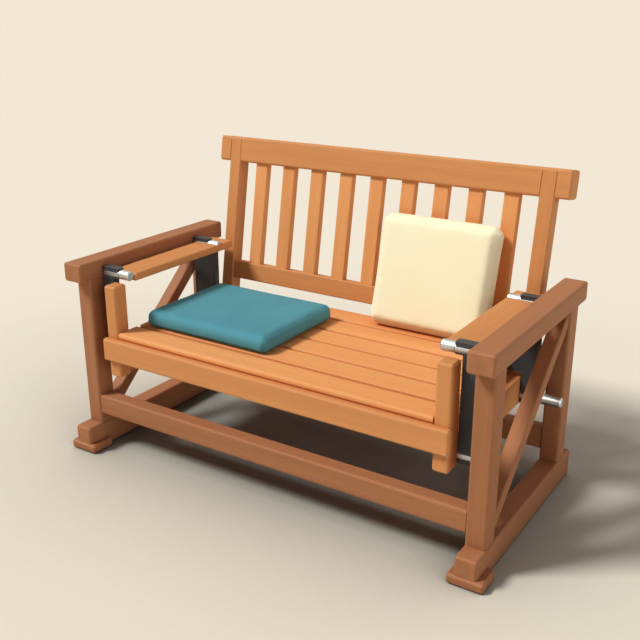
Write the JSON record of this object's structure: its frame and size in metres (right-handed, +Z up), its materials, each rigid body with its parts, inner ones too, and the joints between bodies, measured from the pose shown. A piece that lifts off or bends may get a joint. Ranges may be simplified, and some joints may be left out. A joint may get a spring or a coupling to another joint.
{
  "type": "porch glider bench",
  "caption": "Slatted wooden glider bench: a seat with a leaning slatted back hangs on swinging hangers inside a standing base frame, with a seat cushion and a back pillow.",
  "frame": {"origin": "middle of the bench on the floor, half way between the front of the foot pads and the rear of the top rail", "axes": "+X to the sitter's left along the bench, +Y towards the back, +Z up"},
  "size_m": [1.486, 0.8038, 0.9614],
  "materials": {
    "base_wood": "brown stained, satin",
    "seat_wood": "honey stained, satin",
    "armrest_wood": "honey stained, satin",
    "hanger_paint": "charcoal, matte",
    "steel": "bright, turned",
    "cushion_cloth": "teal, matte",
    "pillow_cloth": "cream, matte"
  },
  "bodies": {
    "base": {"arm_rail_left": "base_wood", "arm_rail_right": "base_wood", "armrest_dowels": "base_wood", "armrest_left": "armrest_wood", "armrest_right": "armrest_wood", "armrest_spacers": "base_wood", "base_post_front_left": "base_wood", "base_post_front_right": "base_wood", "base_post_rear_left": "base_wood", "base_post_rear_right": "base_wood", "brace_left": "base_wood", "brace_right": "base_wood", "foot_beam_left": "base_wood", "foot_beam_right": "base_wood", "foot_pad_left": "base_wood", "foot_pad_right": "base_wood", "stretcher_front": "base_wood", "stretcher_rear": "base_wood", "upper_pins_front": "steel", "upper_pins_rear": "steel"},
    "hanger_front_left": {"hanger_front_left": "hanger_paint", "sleeves_front_left": "steel"},
    "hanger_front_right": {"hanger_front_right": "hanger_paint", "sleeves_front_right": "steel"},
    "hanger_rear_left": {"hanger_rear_left": "hanger_paint", "sleeves_rear_left": "steel"},
    "hanger_rear_right": {"hanger_rear_right": "hanger_paint", "sleeves_rear_right": "steel"},
    "seat": {"apron": "seat_wood", "back_post_left": "seat_wood", "back_post_right": "seat_wood", "back_slat_1": "seat_wood", "back_slat_2": "seat_wood", "back_slat_3": "seat_wood", "back_slat_4": "seat_wood", "back_slat_5": "seat_wood", "back_slat_6": "seat_wood", "back_slat_7": "seat_wood", "back_slat_8": "seat_wood", "back_slat_9": "seat_wood", "cushion": "cushion_cloth", "lower_back_rail": "seat_wood", "lower_pins_front": "steel", "lower_pins_rear": "steel", "pillow": "pillow_cloth", "rear_seat_rail": "seat_wood", "seat_post_left": "seat_wood", "seat_post_right": "seat_wood", "seat_slat_1": "seat_wood", "seat_slat_2": "seat_wood", "seat_slat_3": "seat_wood", "seat_slat_4": "seat_wood", "seat_slat_5": "seat_wood", "seat_slat_6": "seat_wood", "side_rail_left": "seat_wood", "side_rail_right": "seat_wood", "slat_bearers": "seat_wood", "top_rail": "seat_wood"}
  },
  "joints": [
    {"name": "glide", "type": "hinge", "parent": "base", "child": "hanger_front_left", "pos_m": [-0.615, -0.27494, 0.603], "axis": [1, 0, 0], "range_deg": [-6, 6]},
    {"name": "swing_front_right", "type": "hinge", "parent": "base", "child": "hanger_front_right", "pos_m": [0.615, -0.27494, 0.603], "axis": [1, 0, 0], "range_deg": [-6, 6]},
    {"name": "swing_rear_left", "type": "hinge", "parent": "base", "child": "hanger_rear_left", "pos_m": [-0.615, 0.16883, 0.603], "axis": [1, 0, 0], "range_deg": [-6, 6]},
    {"name": "swing_rear_right", "type": "hinge", "parent": "base", "child": "hanger_rear_right", "pos_m": [0.615, 0.16883, 0.603], "axis": [1, 0, 0], "range_deg": [-6, 6]},
    {"name": "seat_level", "type": "hinge", "parent": "hanger_front_left", "child": "seat", "pos_m": [-0.615, -0.27494, 0.31], "axis": [1, 0, 0], "range_deg": [-6, 6]}
  ],
  "couplings": [
    {"joint": "swing_front_right", "follows": "glide", "ratio": 1},
    {"joint": "swing_rear_left", "follows": "glide", "ratio": 1},
    {"joint": "swing_rear_right", "follows": "glide", "ratio": 1},
    {"joint": "seat_level", "follows": "glide", "ratio": -1}
  ]
}
